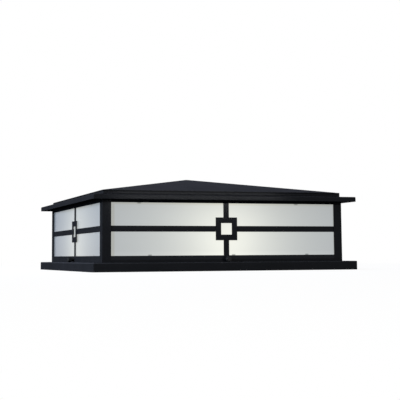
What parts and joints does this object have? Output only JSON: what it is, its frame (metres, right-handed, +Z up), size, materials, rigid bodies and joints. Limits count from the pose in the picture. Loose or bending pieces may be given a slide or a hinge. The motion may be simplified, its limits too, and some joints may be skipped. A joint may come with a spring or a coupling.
{
  "type": "pier mount light",
  "caption": "Square low pier-top lantern: wide base pan, barred frame with white diffusing panels, eave tray and a low hipped roof, lit from inside.",
  "frame": {"origin": "middle of the base's bottom face, which rests on the pier's top", "axes": "+Z up, -Y out of the front side, +X to the right seen from the front"},
  "size_m": [0.61, 0.61, 0.2192],
  "materials": {
    "black_powder_coat": "satin",
    "zinc_steel": "satin",
    "clip_steel": "satin",
    "white_enamel": "gloss",
    "green_screw": "satin",
    "brass": "satin",
    "porcelain": "gloss",
    "white_acrylic": "satin",
    "frosted_glass": "satin",
    "cap_metal": "satin",
    "black_screw": "satin"
  },
  "bodies": {
    "base": {"base_pan": "black_powder_coat", "mounting_channels": "zinc_steel", "clamp_tabs": "black_powder_coat", "riser_nipple": "zinc_steel", "nipple_locknuts": "zinc_steel", "earth_screw": "green_screw", "lamp_box": "white_enamel", "lamp_box_lid": "white_enamel", "lid_screws": "zinc_steel", "socket_stems": "zinc_steel", "socket_shells": "brass", "socket_contacts": "brass", "socket_body_front": "porcelain", "socket_body_right": "porcelain", "socket_body_back": "porcelain", "socket_body_left": "porcelain"},
    "lantern": {"eave_tray": "black_powder_coat", "roof_pan": "black_powder_coat", "roof_screws": "zinc_steel", "roof_nuts": "zinc_steel", "panel_clips": "clip_steel", "clamp_nuts": "zinc_steel", "post_front_left": "black_powder_coat", "post_front_right": "black_powder_coat", "post_back_right": "black_powder_coat", "post_back_left": "black_powder_coat", "bottom_rail_front": "black_powder_coat", "bottom_rail_right": "black_powder_coat", "bottom_rail_back": "black_powder_coat", "bottom_rail_left": "black_powder_coat", "top_rail_front": "black_powder_coat", "top_rail_right": "black_powder_coat", "top_rail_back": "black_powder_coat", "top_rail_left": "black_powder_coat", "glazing_bars_front": "black_powder_coat", "glazing_bars_right": "black_powder_coat", "glazing_bars_back": "black_powder_coat", "glazing_bars_left": "black_powder_coat", "square_ring_front": "black_powder_coat", "square_ring_right": "black_powder_coat", "square_ring_back": "black_powder_coat", "square_ring_left": "black_powder_coat", "panel_front": "white_acrylic", "panel_right": "white_acrylic", "panel_back": "white_acrylic", "panel_left": "white_acrylic"},
    "lamp_front": {"bulb_glass_front": "frosted_glass", "bulb_cap_front": "cap_metal"},
    "lamp_right": {"bulb_glass_right": "frosted_glass", "bulb_cap_right": "cap_metal"},
    "lamp_back": {"bulb_glass_back": "frosted_glass", "bulb_cap_back": "cap_metal"},
    "lamp_left": {"bulb_glass_left": "frosted_glass", "bulb_cap_left": "cap_metal"},
    "thumb_front": {"thumb_screw_front": "black_screw"},
    "thumb_right": {"thumb_screw_right": "black_screw"},
    "thumb_back": {"thumb_screw_back": "black_screw"},
    "thumb_left": {"thumb_screw_left": "black_screw"}
  },
  "joints": [
    {"name": "lantern_lift", "type": "slide", "parent": "base", "child": "lantern", "axis": [0, 0, 1], "range_m": [0, 0.11]},
    {"name": "lamp_front_out", "type": "slide", "parent": "base", "child": "lamp_front", "axis": [0, -1, 0], "range_m": [0, 0.032]},
    {"name": "lamp_right_out", "type": "slide", "parent": "base", "child": "lamp_right", "axis": [1, 0, 0], "range_m": [0, 0.032]},
    {"name": "lamp_back_out", "type": "slide", "parent": "base", "child": "lamp_back", "axis": [0, 1, 0], "range_m": [0, 0.032]},
    {"name": "lamp_left_out", "type": "slide", "parent": "base", "child": "lamp_left", "axis": [-1, 0, 0], "range_m": [0, 0.032]},
    {"name": "thumb_front_back_off", "type": "slide", "parent": "lantern", "child": "thumb_front", "axis": [0, -1, 0], "range_m": [0, 0.005]},
    {"name": "thumb_right_back_off", "type": "slide", "parent": "lantern", "child": "thumb_right", "axis": [1, 0, 0], "range_m": [0, 0.005]},
    {"name": "thumb_back_back_off", "type": "slide", "parent": "lantern", "child": "thumb_back", "axis": [0, 1, 0], "range_m": [0, 0.005]},
    {"name": "thumb_left_back_off", "type": "slide", "parent": "lantern", "child": "thumb_left", "axis": [-1, 0, 0], "range_m": [0, 0.005]}
  ]
}
